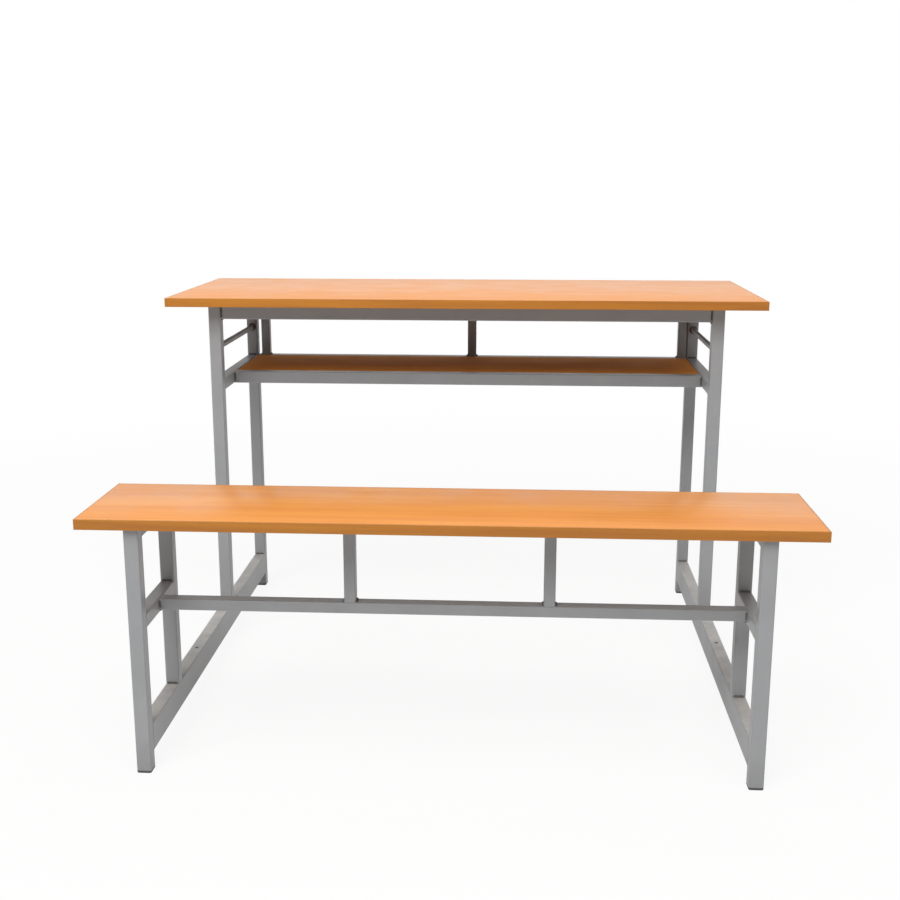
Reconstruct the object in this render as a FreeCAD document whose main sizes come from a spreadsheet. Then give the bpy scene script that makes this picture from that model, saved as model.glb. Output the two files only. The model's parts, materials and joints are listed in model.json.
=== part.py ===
"""School desk and bench on one welded tube frame.

Two boards, a writing top and a seat, lie on a frame of square steel tube. A book shelf is
let in between two rails under the top. Millimetres, +Z up, +X along the boards and +Y from
the bench to the desk. The origin is on the floor, under the middle of the whole.
"""
import FreeCAD, Part
import os
import Sketcher

SHEET = "Sizes"

DRIVING_SIZES = {
    # boards
    "board_length": 1220.0,
    "board_thickness": 18.0,
    "band_thickness": 2.0,
    "band_round": 0.8,
    "seat_height": 455.0,
    "seat_depth": 240.0,
    "desk_height": 755.0,
    "desk_depth": 480.0,
    "desk_offset": 595.0,
    # frame of square tube
    "end_overhang": 78.0,
    "tube_side": 25.0,
    "tube_wall": 1.5,
    "tube_corner": 2.5,
    "bench_leg_inset": 10.0,
    "desk_leg_inset": 45.0,
    # base rails, deeper than they are wide
    "rail_height": 50.0,
    "rail_clearance": 32.0,
    "rail_hole": 7.0,
    "left_hole_place": 383.0,
    "right_hole_place": 470.0,
    # slim tube for the stretcher, the struts, the top side rails and the shelf posts
    "slim_side": 20.0,
    "brace_height": 282.0,
    "strut_spacing": 344.0,
    # desk rails and book shelf
    "front_rail_height": 30.0,
    "front_rail_setback": 5.0,
    "shelf_drop": 157.0,
    "shelf_setback": 110.0,
    "shelf_gap": 2.0,
    "post_end_gap": 5.0,
    "post_shift": 4.0,
    "guard_diameter": 12.0,
    "guard_drop": 91.0,
    # feet
    "glide_thickness": 5.0,
    "glide_plug": 18.0,
    "glide_clearance": 0.3,
    # fixings under the boards
    "tab_length": 30.0,
    "tab_reach": 24.0,
    "tab_thickness": 3.0,
    "seat_tab_spacing": 100.0,
    "desk_tab_spacing": 620.0,
    "shelf_tab_spacing": 640.0,
    "screw_diameter": 4.0,
    "screw_length": 14.0,
    "screw_head": 8.5,
    "screw_head_face": 6.5,
    "screw_head_height": 2.6,
    "screw_clearance": 0.3,
}

SIDES = {"left": -1, "right": 1}

# Half-size at which a sketch is drawn before its dimensions take hold
FIRST_DRAWN = 30.0
# Tolerance for picking out edges and points
NEAR = 0.05


def size(name):
    """Expression that reads one driving dimension."""
    return f"{SHEET}.{name}"


# Heights above the floor
SEAT_UNDERSIDE = f"({size('seat_height')} - {size('board_thickness')})"
DESK_UNDERSIDE = f"({size('desk_height')} - {size('board_thickness')})"
RAIL_TOP = f"({size('rail_clearance')} + {size('rail_height')})"
SHELF_TOP = f"({DESK_UNDERSIDE} - {size('shelf_drop')})"
SHELF_UNDERSIDE = f"({SHELF_TOP} - {size('board_thickness')})"
SHELF_RAIL_MIDDLE = f"({SHELF_TOP} - {size('tube_side')} / 2)"

# Distances from the middle of the furniture along the boards
FRAME_OUTSIDE = f"({size('board_length')} / 2 - {size('end_overhang')})"
FRAME_INSIDE = f"({FRAME_OUTSIDE} - {size('tube_side')})"
LEG_MIDDLE = f"({FRAME_OUTSIDE} - {size('tube_side')} / 2)"
INSIDE_WIDTH = f"(2 * {FRAME_INSIDE})"
POST_MIDDLE = f"({FRAME_INSIDE} - {size('post_end_gap')} - {size('slim_side')} / 2)"

# Places from the bench to the desk
SEAT_EDGE = f"(-({size('desk_offset')} + {size('desk_depth')}) / 2)"
SEAT_MIDDLE = f"({SEAT_EDGE} + {size('seat_depth')} / 2)"
BENCH_NEAR_FACE = f"({SEAT_EDGE} + {size('bench_leg_inset')})"
BENCH_FAR_FACE = f"({SEAT_EDGE} + {size('seat_depth')} - {size('bench_leg_inset')})"
BENCH_SPAN = f"({BENCH_FAR_FACE} - {BENCH_NEAR_FACE} - 2 * {size('tube_side')})"
DESK_EDGE = f"({SEAT_EDGE} + {size('desk_offset')})"
DESK_MIDDLE = f"({DESK_EDGE} + {size('desk_depth')} / 2)"
DESK_NEAR_FACE = f"({DESK_EDGE} + {size('desk_leg_inset')})"
DESK_FAR_FACE = f"({DESK_EDGE} + {size('desk_depth')} - {size('desk_leg_inset')})"
DESK_SPAN = f"({DESK_FAR_FACE} - {DESK_NEAR_FACE} - 2 * {size('tube_side')})"
FRONT_RAIL_FACE = f"({DESK_NEAR_FACE} + {size('front_rail_setback')})"
SHELF_EDGE = f"({DESK_NEAR_FACE} + {size('shelf_setback')})"
SHELF_MIDDLE = f"(({SHELF_EDGE} + {DESK_FAR_FACE}) / 2)"
SHELF_SPAN = f"({DESK_FAR_FACE} - {SHELF_EDGE} - 2 * {size('tube_side')})"

doc = FreeCAD.newDocument("SchoolDesk")
sub_parts = []


def make_sheet():
    """Put the driving dimensions in a sheet, one named cell each."""
    sheet = doc.addObject("Spreadsheet::Sheet", SHEET)
    for row, (name, value) in enumerate(DRIVING_SIZES.items(), start=1):
        sheet.set(f"A{row}", name)
        sheet.set(f"B{row}", str(value))
        sheet.setAlias(f"B{row}", name)
    doc.recompute()


def keep(feature, label):
    """Name a finished sub-part and list it for export."""
    feature.Label = label
    sub_parts.append(feature)
    return feature


def put(feature, place, turn=None):
    """Bind a feature's place to the sheet and turn it from its own axes."""
    if turn:
        feature.Placement.Rotation = turn
    for axis, expression in zip("xyz", place):
        feature.setExpression(f"Placement.Base.{axis}", expression)


def body_plane(body, role):
    """One of a body's own origin planes."""
    return next(plane for plane in body.Origin.OriginFeatures if plane.Role == role)


def add_sketch(body, name, role="XY_Plane"):
    """Empty sketch on one of the body's origin planes."""
    sketch = body.newObject("Sketcher::SketchObject", name)
    sketch.AttachmentSupport = [(body_plane(body, role), "")]
    sketch.MapMode = "FlatFace"
    return sketch


def bind(sketch, constraint, name, expression):
    """Add a dimension to a sketch and tie it to the sheet."""
    index = sketch.addConstraint(constraint)
    sketch.renameConstraint(index, name)
    sketch.setExpression(f"Constraints.{name}", expression)


def draw_rectangle(sketch, name, width, depth):
    """Rectangle about the sketch's origin."""
    first = sketch.GeometryCount
    signs = [(-1, -1), (1, -1), (1, 1), (-1, 1)]
    corners = [FreeCAD.Vector(FIRST_DRAWN * x, FIRST_DRAWN * y, 0) for x, y in signs]
    for index, corner in enumerate(corners):
        sketch.addGeometry(Part.LineSegment(corner, corners[(index + 1) % 4]))
    for index in range(4):
        following = first + (index + 1) % 4
        sketch.addConstraint(Sketcher.Constraint("Coincident", first + index, 2, following, 1))
    for index, kind in enumerate(("Horizontal", "Vertical", "Horizontal", "Vertical")):
        sketch.addConstraint(Sketcher.Constraint(kind, first + index))
    sketch.addConstraint(Sketcher.Constraint("Symmetric", first, 1, first + 1, 2, -1, 1))
    drawn = 2 * FIRST_DRAWN
    bind(sketch, Sketcher.Constraint("DistanceX", first, 1, first, 2, drawn), f"{name}_width", width)
    bind(sketch, Sketcher.Constraint("DistanceY", first + 1, 1, first + 1, 2, drawn), f"{name}_depth", depth)


def draw_circle(sketch, name, signs, place, diameter):
    """Circle at a place from the sketch's origin; a sign of zero keeps it on that axis."""
    centre = FreeCAD.Vector(signs[0] * FIRST_DRAWN, signs[1] * FIRST_DRAWN, 0)
    index = sketch.addGeometry(Part.Circle(centre, FreeCAD.Vector(0, 0, 1), FIRST_DRAWN / 2))
    bind(sketch, Sketcher.Constraint("Diameter", index, FIRST_DRAWN), f"{name}_diameter", diameter)
    for axis, sign, expression in zip("XY", signs, place):
        if sign == 0:
            other_axis = {"X": -2, "Y": -1}[axis]
            sketch.addConstraint(Sketcher.Constraint("PointOnObject", index, 3, other_axis))
            continue
        ends = (-1, 1, index, 3) if sign > 0 else (index, 3, -1, 1)
        bind(sketch, Sketcher.Constraint(f"Distance{axis}", *ends, FIRST_DRAWN),
             f"{name}_{axis.lower()}", expression)


def add_pad(body, sketch, name, length):
    """Raise a sketch into a solid."""
    pad = body.newObject("PartDesign::Pad", name)
    pad.Profile = sketch
    pad.setExpression("Length", length)
    sketch.Visibility = False
    return pad


def runs_along(direction, axis):
    """Whether an edge's direction lies mostly along one axis."""
    return abs(getattr(direction, axis)) == max(abs(part) for part in direction)


def round_edges(body, base, name, radius, wanted):
    """Round the edges of a base feature whose middle and direction are wanted."""
    doc.recompute()
    names = []
    for number, edge in enumerate(base.Shape.Edges, start=1):
        middle = edge.CenterOfMass
        direction = edge.tangentAt(edge.FirstParameter)
        if wanted(middle, direction):
            names.append(f"Edge{number}")
    fillet = body.newObject("PartDesign::Fillet", name)
    fillet.Base = (base, names)
    fillet.setExpression("Radius", radius)
    return fillet


TURNS = {
    "x": FreeCAD.Rotation(FreeCAD.Vector(0, 1, 0), 90),
    "y": FreeCAD.Rotation(FreeCAD.Vector(1, 0, 0), -90),
    "z": FreeCAD.Rotation(),
}


def make_tube(label, along, section, length, place):
    """Hollow tube with rounded corners, from the middle of its start face.

    The section is given as the sizes that lie along local x and y. A tube along x has its
    height first, then its depth; one along y or z has its width first.
    """
    wall = size("tube_wall")
    body = doc.addObject("PartDesign::Body", label)
    sketch = add_sketch(body, "Section")
    draw_rectangle(sketch, "outside", *section)
    bore = [f"{side} - 2 * {wall}" for side in section]
    draw_rectangle(sketch, "bore", *bore)
    tube = add_pad(body, sketch, "Tube", length)
    doc.recompute()
    box = tube.Shape.BoundBox

    def outer_corner(middle, direction):
        on_sides = abs(abs(middle.x) - box.XMax) < NEAR and abs(abs(middle.y) - box.YMax) < NEAR
        return on_sides and runs_along(direction, "z")

    round_edges(body, tube, "Corners", size("tube_corner"), outer_corner)
    put(body, place, TURNS[along])
    return keep(body, label)


def make_side_frame(side_name, side):
    """Legs and rails of one end of the furniture."""
    square = (size("tube_side"), size("tube_side"))
    slim = (size("tube_side"), size("slim_side"))
    half = f"{size('tube_side')} / 2"
    x = f"{side} * {LEG_MIDDLE}"
    near_leg = f"{BENCH_NEAR_FACE} + {half}"
    far_leg = f"{BENCH_FAR_FACE} - {half}"
    desk_near_leg = f"{DESK_NEAR_FACE} + {half}"
    desk_far_leg = f"{DESK_FAR_FACE} - {half}"
    foot = size("glide_thickness")

    legs = {
        "bench_front_leg": (near_leg, foot, SEAT_UNDERSIDE),
        "bench_back_leg": (far_leg, RAIL_TOP, SEAT_UNDERSIDE),
        "desk_front_leg": (desk_near_leg, RAIL_TOP, DESK_UNDERSIDE),
        "desk_back_leg": (desk_far_leg, foot, DESK_UNDERSIDE),
    }
    for name, (y, bottom, top) in legs.items():
        make_tube(f"{name}_{side_name}", "z", square, f"{top} - {bottom}", (x, y, bottom))

    bench_start = f"{BENCH_NEAR_FACE} + {size('tube_side')}"
    desk_start = f"{DESK_NEAR_FACE} + {size('tube_side')}"
    bench_slim = f"{SEAT_UNDERSIDE} - {size('slim_side')} / 2"
    desk_slim = f"{DESK_UNDERSIDE} - {size('slim_side')} / 2"
    brace = f"{size('brace_height')} - {half}"
    rails = {
        "bench_cross_rail": (square, BENCH_SPAN, bench_start, brace),
        "bench_top_rail": (slim, BENCH_SPAN, bench_start, bench_slim),
        "desk_cross_rail": (square, DESK_SPAN, desk_start, SHELF_RAIL_MIDDLE),
        "desk_top_rail": (slim, DESK_SPAN, desk_start, desk_slim),
    }
    for name, (section, length, start, z) in rails.items():
        make_tube(f"{name}_{side_name}", "y", section, length, (x, start, z))

    guard = doc.addObject("Part::Cylinder", f"guard_bar_{side_name}")
    guard.setExpression("Radius", f"{size('guard_diameter')} / 2")
    guard.setExpression("Height", DESK_SPAN)
    put(guard, (x, desk_start, f"{DESK_UNDERSIDE} - {size('guard_drop')}"), TURNS["y"])
    keep(guard, f"guard_bar_{side_name}")


def make_base_rail(side_name, side):
    """Deep rail from the bench's front leg to the desk's back leg, drilled from above."""
    start = f"({BENCH_NEAR_FACE} + {size('tube_side')})"
    length = f"{DESK_FAR_FACE} - {size('tube_side')} - {start}"
    section = (size("tube_side"), size("rail_height"))
    middle = f"{size('rail_clearance')} + {size('rail_height')} / 2"
    place = (f"{side} * {LEG_MIDDLE}", start, middle)
    body = make_tube(f"base_rail_{side_name}", "y", section, length, place)
    doc.recompute()
    plain_volume = body.Shape.Volume

    # The sketch lies along the rail's length, at mid height, and the cut goes up
    sketch = add_sketch(body, "HolePlace", "XZ_Plane")
    hole_place = f"{SEAT_EDGE} + {size(f'{side_name}_hole_place')} - {start}"
    draw_circle(sketch, "hole", (0, 1), ("0", hole_place), size("rail_hole"))
    hole = body.newObject("PartDesign::Pocket", "TopHole")
    hole.Profile = sketch
    hole.Reversed = True
    hole.setExpression("Length", f"{size('rail_height')} / 2")
    doc.recompute()
    wall_middle = DRIVING_SIZES["rail_height"] / 2 - DRIVING_SIZES["tube_wall"] / 2
    in_top_wall = FreeCAD.Vector(0, -wall_middle, sketch.getDatum("hole_y").Value)
    if body.Shape.Volume >= plain_volume or hole.Shape.isInside(in_top_wall, NEAR, False):
        raise RuntimeError(f"the hole in {body.Label} is not in its top wall")


def make_bench_braces():
    """Stretcher between the bench's cross rails and the struts that carry the seat."""
    slim = (size("slim_side"), size("tube_side"))
    y = f"({BENCH_NEAR_FACE} + {BENCH_FAR_FACE}) / 2"
    middle = f"{size('brace_height')} - {size('slim_side')} / 2"
    make_tube("bench_stretcher", "x", slim, INSIDE_WIDTH, (f"-{FRAME_INSIDE}", y, middle))
    for side_name, side in SIDES.items():
        x = f"{side} * {size('strut_spacing')} / 2"
        length = f"{SEAT_UNDERSIDE} - {size('brace_height')}"
        make_tube(f"bench_strut_{side_name}", "z", slim, length, (x, y, size("brace_height")))


def make_desk_rails():
    """Rails along the boards: under the desk top and on both sides of the book shelf."""
    square = (size("tube_side"), size("tube_side"))
    tall = (size("front_rail_height"), size("tube_side"))
    half = f"{size('tube_side')} / 2"
    tall_middle = f"{DESK_UNDERSIDE} - {size('front_rail_height')} / 2"
    rails = {
        "desk_front_rail": (tall, f"{FRONT_RAIL_FACE} + {half}", tall_middle),
        "desk_back_rail": (square, f"{DESK_FAR_FACE} - {half}", f"{DESK_UNDERSIDE} - {half}"),
        "shelf_front_rail": (square, f"{SHELF_EDGE} + {half}", SHELF_RAIL_MIDDLE),
        "shelf_back_rail": (square, f"{DESK_FAR_FACE} - {half}", SHELF_RAIL_MIDDLE),
    }
    for name, (section, y, z) in rails.items():
        make_tube(name, "x", section, INSIDE_WIDTH, (f"-{FRAME_INSIDE}", y, z))


def make_shelf_posts():
    """Posts from the shelf's back rail up to the desk's back rail, all a little to the right."""
    slim = (size("slim_side"), size("slim_side"))
    y = f"{DESK_FAR_FACE} - {size('tube_side')} / 2"
    length = f"{size('shelf_drop')} - {size('tube_side')}"
    places = {"left": f"-{POST_MIDDLE}", "middle": "0", "right": POST_MIDDLE}
    for name, x in places.items():
        place = (f"{x} + {size('post_shift')}", y, SHELF_TOP)
        make_tube(f"shelf_post_{name}", "z", slim, length, place)


def make_board(label, width, depth, place, holes):
    """Board core with blind screw holes in its underside, from the middle of that face."""
    body = doc.addObject("PartDesign::Body", label)
    outline = add_sketch(body, "Outline")
    draw_rectangle(outline, "core", width, depth)
    add_pad(body, outline, "Core", size("board_thickness"))
    doc.recompute()
    plain_volume = body.Shape.Volume
    pilot = add_sketch(body, "Pilots")
    diameter = f"{size('screw_diameter')} + 2 * {size('screw_clearance')}"
    for number, (signs, hole_place) in enumerate(holes):
        draw_circle(pilot, f"pilot{number}", signs, hole_place, diameter)
    pocket = body.newObject("PartDesign::Pocket", "PilotHoles")
    pocket.Profile = pilot
    pocket.Reversed = True
    pocket.setExpression(
        "Length", f"{size('screw_length')} - {size('tab_thickness')} + {size('screw_clearance')}")
    doc.recompute()
    if body.Shape.Volume >= plain_volume:
        raise RuntimeError(f"the screw holes of {label} cut nothing")
    put(body, place)
    return keep(body, label)


def make_band(label, along, length, place, outward):
    """Edge band strip; its two outer long edges are slightly rounded."""
    body = doc.addObject("PartDesign::Body", label)
    sketch = add_sketch(body, "Strip")
    if along == "x":
        draw_rectangle(sketch, "strip", length, size("band_thickness"))
    else:
        draw_rectangle(sketch, "strip", size("band_thickness"), length)
    pad = add_pad(body, sketch, "Strip", size("board_thickness"))
    doc.recompute()
    box = pad.Shape.BoundBox
    reach = {"x": box.YMax, "y": box.XMax}[along]

    def outer_long_edge(middle, direction):
        out = middle.y if along == "x" else middle.x
        return runs_along(direction, along) and abs(out - outward * reach) < NEAR

    round_edges(body, pad, "Rounds", size("band_round"), outer_long_edge)
    put(body, place)
    return keep(body, label)


def make_banded_board(name, depth, y, underside, holes):
    """Full-length board with an edge band on all four sides."""
    band = size("band_thickness")
    core_width = f"{size('board_length')} - 2 * {band}"
    core_depth = f"{depth} - 2 * {band}"
    make_board(f"{name}_board", core_width, core_depth, ("0", y, underside), holes)
    for edge, sign in {"front": -1, "back": 1}.items():
        place = ("0", f"{y} + {sign} * ({depth} - {band}) / 2", underside)
        make_band(f"{name}_band_{edge}", "x", size("board_length"), place, sign)
    for edge, sign in SIDES.items():
        place = (f"{sign} * ({size('board_length')} - {band}) / 2", y, underside)
        make_band(f"{name}_band_{edge}", "y", core_depth, place, sign)


def make_shelf(holes):
    """Book shelf board, level with the rails around it and a small gap away from them."""
    width = f"{INSIDE_WIDTH} - 2 * {size('shelf_gap')}"
    depth = f"{SHELF_SPAN} - 2 * {size('shelf_gap')}"
    make_board("shelf_board", width, depth, ("0", SHELF_MIDDLE, SHELF_UNDERSIDE), holes)


def make_foot_glides():
    """Plastic glides plugged into the four legs that stand on the floor."""
    insert = f"{size('tube_side')} - 2 * {size('tube_wall')} - 2 * {size('glide_clearance')}"
    near_y = f"{BENCH_NEAR_FACE} + {size('tube_side')} / 2"
    far_y = f"{DESK_FAR_FACE} - {size('tube_side')} / 2"
    glides = []
    for side in SIDES.values():
        for y in (near_y, far_y):
            x = f"{side} * {LEG_MIDDLE}"
            blocks = []
            for width, bottom, height in (
                    (size("tube_side"), "0", size("glide_thickness")),
                    (insert, size("glide_thickness"), size("glide_plug"))):
                block = doc.addObject("Part::Box", "GlideBlock")
                block.setExpression("Length", width)
                block.setExpression("Width", width)
                block.setExpression("Height", height)
                put(block, (f"{x} - ({width}) / 2", f"{y} - ({width}) / 2", bottom))
                blocks.append(block)
            glide = doc.addObject("Part::Fuse", "Glide")
            glide.Base, glide.Tool = blocks
            glides.append(glide)
    group = doc.addObject("Part::Compound", "foot_glides")
    group.Links = glides
    keep(group, "foot_glides")


def make_tab(x, y, underside, along):
    """Flat tab with a screw hole, centred under a board at x, y."""
    sizes = {"x": ("tab_length", "tab_reach"), "y": ("tab_reach", "tab_length")}[along]
    width, depth = (size(name) for name in sizes)
    bottom = f"{underside} - {size('tab_thickness')}"
    plate = doc.addObject("Part::Box", "TabPlate")
    plate.setExpression("Length", width)
    plate.setExpression("Width", depth)
    plate.setExpression("Height", size("tab_thickness"))
    put(plate, (f"{x} - {width} / 2", f"{y} - {depth} / 2", bottom))
    drill = doc.addObject("Part::Cylinder", "TabHole")
    drill.setExpression("Radius", f"{size('screw_diameter')} / 2 + {size('screw_clearance')}")
    drill.setExpression("Height", size("tab_thickness"))
    put(drill, (x, y, bottom))
    tab = doc.addObject("Part::Cut", "Tab")
    tab.Base, tab.Tool = plate, drill
    return tab


def make_screw(x, y, underside):
    """Pan-head screw driven up through a tab into the board."""
    seat = f"{underside} - {size('tab_thickness')}"
    head = doc.addObject("Part::Cone", "ScrewHead")
    head.setExpression("Radius1", f"{size('screw_head_face')} / 2")
    head.setExpression("Radius2", f"{size('screw_head')} / 2")
    head.setExpression("Height", size("screw_head_height"))
    put(head, (x, y, f"{seat} - {size('screw_head_height')}"))
    shank = doc.addObject("Part::Cylinder", "ScrewShank")
    shank.setExpression("Radius", f"{size('screw_diameter')} / 2")
    shank.setExpression("Height", size("screw_length"))
    put(shank, (x, y, seat))
    screw = doc.addObject("Part::Fuse", "Screw")
    screw.Base, screw.Tool = head, shank
    return screw


def fixing_places():
    """Tab places as (x, y, underside, direction of the rail the tab is welded to)."""
    reach = f"{size('tab_reach')} / 2"
    places = []
    for side in SIDES.values():
        x = f"{side} * ({FRAME_INSIDE} - {reach})"
        for end in (-1, 1):
            y = f"({SEAT_MIDDLE} + {end} * {size('seat_tab_spacing')} / 2)"
            places.append((x, y, SEAT_UNDERSIDE, "y"))
    rows = (
        (f"({FRONT_RAIL_FACE} + {size('tube_side')} + {reach})", DESK_UNDERSIDE, "desk_tab_spacing"),
        (f"({DESK_FAR_FACE} - {size('tube_side')} - {reach})", DESK_UNDERSIDE, "desk_tab_spacing"),
        (f"({SHELF_EDGE} + {size('tube_side')} + {reach})", SHELF_UNDERSIDE, "shelf_tab_spacing"),
        (f"({DESK_FAR_FACE} - {size('tube_side')} - {reach})", SHELF_UNDERSIDE, "shelf_tab_spacing"),
    )
    for y, underside, spacing in rows:
        for side in SIDES.values():
            places.append((f"{side} * {size(spacing)} / 2", y, underside, "x"))
    return places


def make_fixings():
    """Welded tabs and the screws that hold the boards down on the frame."""
    tabs = []
    screws = []
    for x, y, underside, along in fixing_places():
        tabs.append(make_tab(x, y, underside, along))
        screws.append(make_screw(x, y, underside))
    for label, solids in {"fixing_tabs": tabs, "board_screws": screws}.items():
        group = doc.addObject("Part::Compound", label)
        group.Links = solids
        keep(group, label)


def board_holes():
    """Screw places in each board, as signs and distances from the middle of its core."""
    reach = f"{size('tab_reach')} / 2"
    seat_x = f"{FRAME_INSIDE} - {reach}"
    seat_y = f"{size('seat_tab_spacing')} / 2"
    desk_x = f"{size('desk_tab_spacing')} / 2"
    desk_near = f"{DESK_MIDDLE} - {FRONT_RAIL_FACE} - {size('tube_side')} - {reach}"
    desk_far = f"{DESK_FAR_FACE} - {size('tube_side')} - {reach} - {DESK_MIDDLE}"
    shelf_x = f"{size('shelf_tab_spacing')} / 2"
    shelf_y = f"{SHELF_SPAN} / 2 - {reach}"
    rows = {
        "seat": (seat_x, {-1: seat_y, 1: seat_y}),
        "desk": (desk_x, {-1: desk_near, 1: desk_far}),
        "shelf": (shelf_x, {-1: shelf_y, 1: shelf_y}),
    }
    return {
        name: [((side, end), (x, y)) for side in SIDES.values() for end, y in ends.items()]
        for name, (x, ends) in rows.items()
    }


def check_and_export():
    """Stop on any failed feature, then write each sub-part to its own file."""
    doc.recompute()
    for feature in doc.Objects:
        if "Invalid" in feature.State or "Error" in feature.State:
            raise RuntimeError(f"{feature.Name} ({feature.Label}) failed: {feature.State}")
    for feature in sub_parts:
        if feature.Shape.isNull() or not feature.Shape.isValid():
            raise RuntimeError(f"{feature.Label} has no valid shape")
    os.makedirs("parts", exist_ok=True)
    for feature in sub_parts:
        feature.Shape.exportStep(f"parts/{feature.Label}.step")
    print(f"{len(sub_parts)} sub-parts written")


def main():
    make_sheet()
    holes = board_holes()
    make_banded_board("seat", size("seat_depth"), SEAT_MIDDLE, SEAT_UNDERSIDE, holes["seat"])
    make_banded_board("desk", size("desk_depth"), DESK_MIDDLE, DESK_UNDERSIDE, holes["desk"])
    make_shelf(holes["shelf"])
    for side_name, side in SIDES.items():
        make_side_frame(side_name, side)
        make_base_rail(side_name, side)
    make_bench_braces()
    make_desk_rails()
    make_shelf_posts()
    make_foot_glides()
    make_fixings()
    check_and_export()


main()
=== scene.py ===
"""Looks of the school desk with bench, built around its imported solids.

Laid out as a Blender add-on, and run as a script. Metres, +Z up, +X along the boards and +Y from
the bench to the desk.
"""
import json
import math
from collections import namedtuple

import bmesh
import bpy
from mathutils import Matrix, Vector


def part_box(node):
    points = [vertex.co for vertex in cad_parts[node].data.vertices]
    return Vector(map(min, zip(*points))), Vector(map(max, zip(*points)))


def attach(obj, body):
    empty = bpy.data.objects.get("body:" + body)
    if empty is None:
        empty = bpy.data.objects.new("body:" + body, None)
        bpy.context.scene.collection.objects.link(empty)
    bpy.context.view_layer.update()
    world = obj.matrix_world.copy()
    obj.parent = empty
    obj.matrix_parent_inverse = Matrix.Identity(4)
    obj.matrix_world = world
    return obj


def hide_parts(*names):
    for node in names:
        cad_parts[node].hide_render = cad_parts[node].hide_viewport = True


bl_info = {
    "name": "School desk with bench",
    "version": (1, 0, 0),
    "blender": (4, 5, 0),
    "location": "View3D > Sidebar > School desk",
    "description": "Boards, tube frame, welds and fixings of a school desk with its bench",
    "category": "Object",
}

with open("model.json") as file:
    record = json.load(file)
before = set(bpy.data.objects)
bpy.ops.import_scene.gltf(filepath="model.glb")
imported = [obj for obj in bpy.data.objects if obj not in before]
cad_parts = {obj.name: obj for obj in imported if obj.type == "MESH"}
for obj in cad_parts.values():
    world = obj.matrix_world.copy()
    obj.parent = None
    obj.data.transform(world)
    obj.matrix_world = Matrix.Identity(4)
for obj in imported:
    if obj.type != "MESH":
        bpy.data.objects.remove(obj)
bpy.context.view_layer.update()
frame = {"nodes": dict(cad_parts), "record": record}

MM = 0.001
BODY = "root"
HANDS = {"left": "-x", "right": "+x"}

# Vertices this close are one, and pieces this close touch
SAME_PLACE = 0.01 * MM
TOUCHING = 0.1 * MM
# Faces that meet at a larger angle keep a sharp edge
SHARP_ANGLE = math.radians(40)
# Sensor that the camera's focal length is given for, in millimetres
SENSOR_WIDTH = 36.0


def linear(code):
    """Linear RGBA of an sRGB hex colour."""
    channels = [int(code[place:place + 2], 16) / 255 for place in (1, 3, 5)]
    bright = [c / 12.92 if c <= 0.04045 else ((c + 0.055) / 1.055) ** 2.4 for c in channels]
    return (*bright, 1.0)


WHITE = linear("#FFFFFF")


def length_prop(name, description, default):
    """A length that a user can change."""
    return bpy.props.FloatProperty(
        name=name, description=description, default=default, min=0.0, precision=4,
        subtype="DISTANCE", unit="LENGTH")


def colour_prop(name, description, code):
    """A colour that a user can change, given as sRGB hex."""
    return bpy.props.FloatVectorProperty(
        name=name, description=description, default=linear(code), size=4, min=0.0, max=1.0,
        subtype="COLOR")


def place_prop(name, description, default):
    """A place in the scene that a user can change."""
    return bpy.props.FloatVectorProperty(
        name=name, description=description, default=default, size=3, subtype="XYZ", unit="LENGTH")


def power_prop(name, description, default):
    """A lamp's power, in watts, that a user can change."""
    return bpy.props.FloatProperty(
        name=name, description=description, default=default, min=0.0, unit="POWER")


class SchoolDeskSizes(bpy.types.PropertyGroup):
    """Sizes of the details that the solids leave plain."""
    weld_leg: length_prop("Weld leg", "Reach of a fillet weld along each tube face", 3.2 * MM)
    weld_ripple: length_prop("Weld ripple", "Spacing of the ripples along a weld", 2.6 * MM)
    weld_sink: length_prop("Weld sink", "Depth to which a weld runs into the tubes", 0.3 * MM)
    tube_corner: length_prop(
        "Tube corner", "Corner radius of the tubes, which a weld stops at", 2.5 * MM)
    board_arris: length_prop(
        "Board arris", "Rounding of the laminate's edge beside the band", 0.4 * MM)
    pad_height: length_prop("Glide pad", "Height of the glide that shows under a leg", 5.0 * MM)
    pad_chamfer: length_prop("Glide chamfer", "Chamfer round the foot of a glide", 1.2 * MM)
    fin_pitch: length_prop("Glide fin pitch", "Spacing of the fins on a glide's plug", 3.6 * MM)
    fin_depth: length_prop("Glide fin depth", "Depth of the grooves between those fins", 1.2 * MM)
    tab_corner: length_prop("Tab corner", "Rounding of a fixing tab's two free corners", 5.0 * MM)
    recess_width: length_prop(
        "Recess width", "Width of the arms of a screw's cross recess", 1.1 * MM)
    recess_reach: length_prop(
        "Recess reach", "Reach of those arms from the screw's middle", 2.3 * MM)
    recess_depth: length_prop("Recess depth", "Depth of the cross recess", 1.5 * MM)


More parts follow.
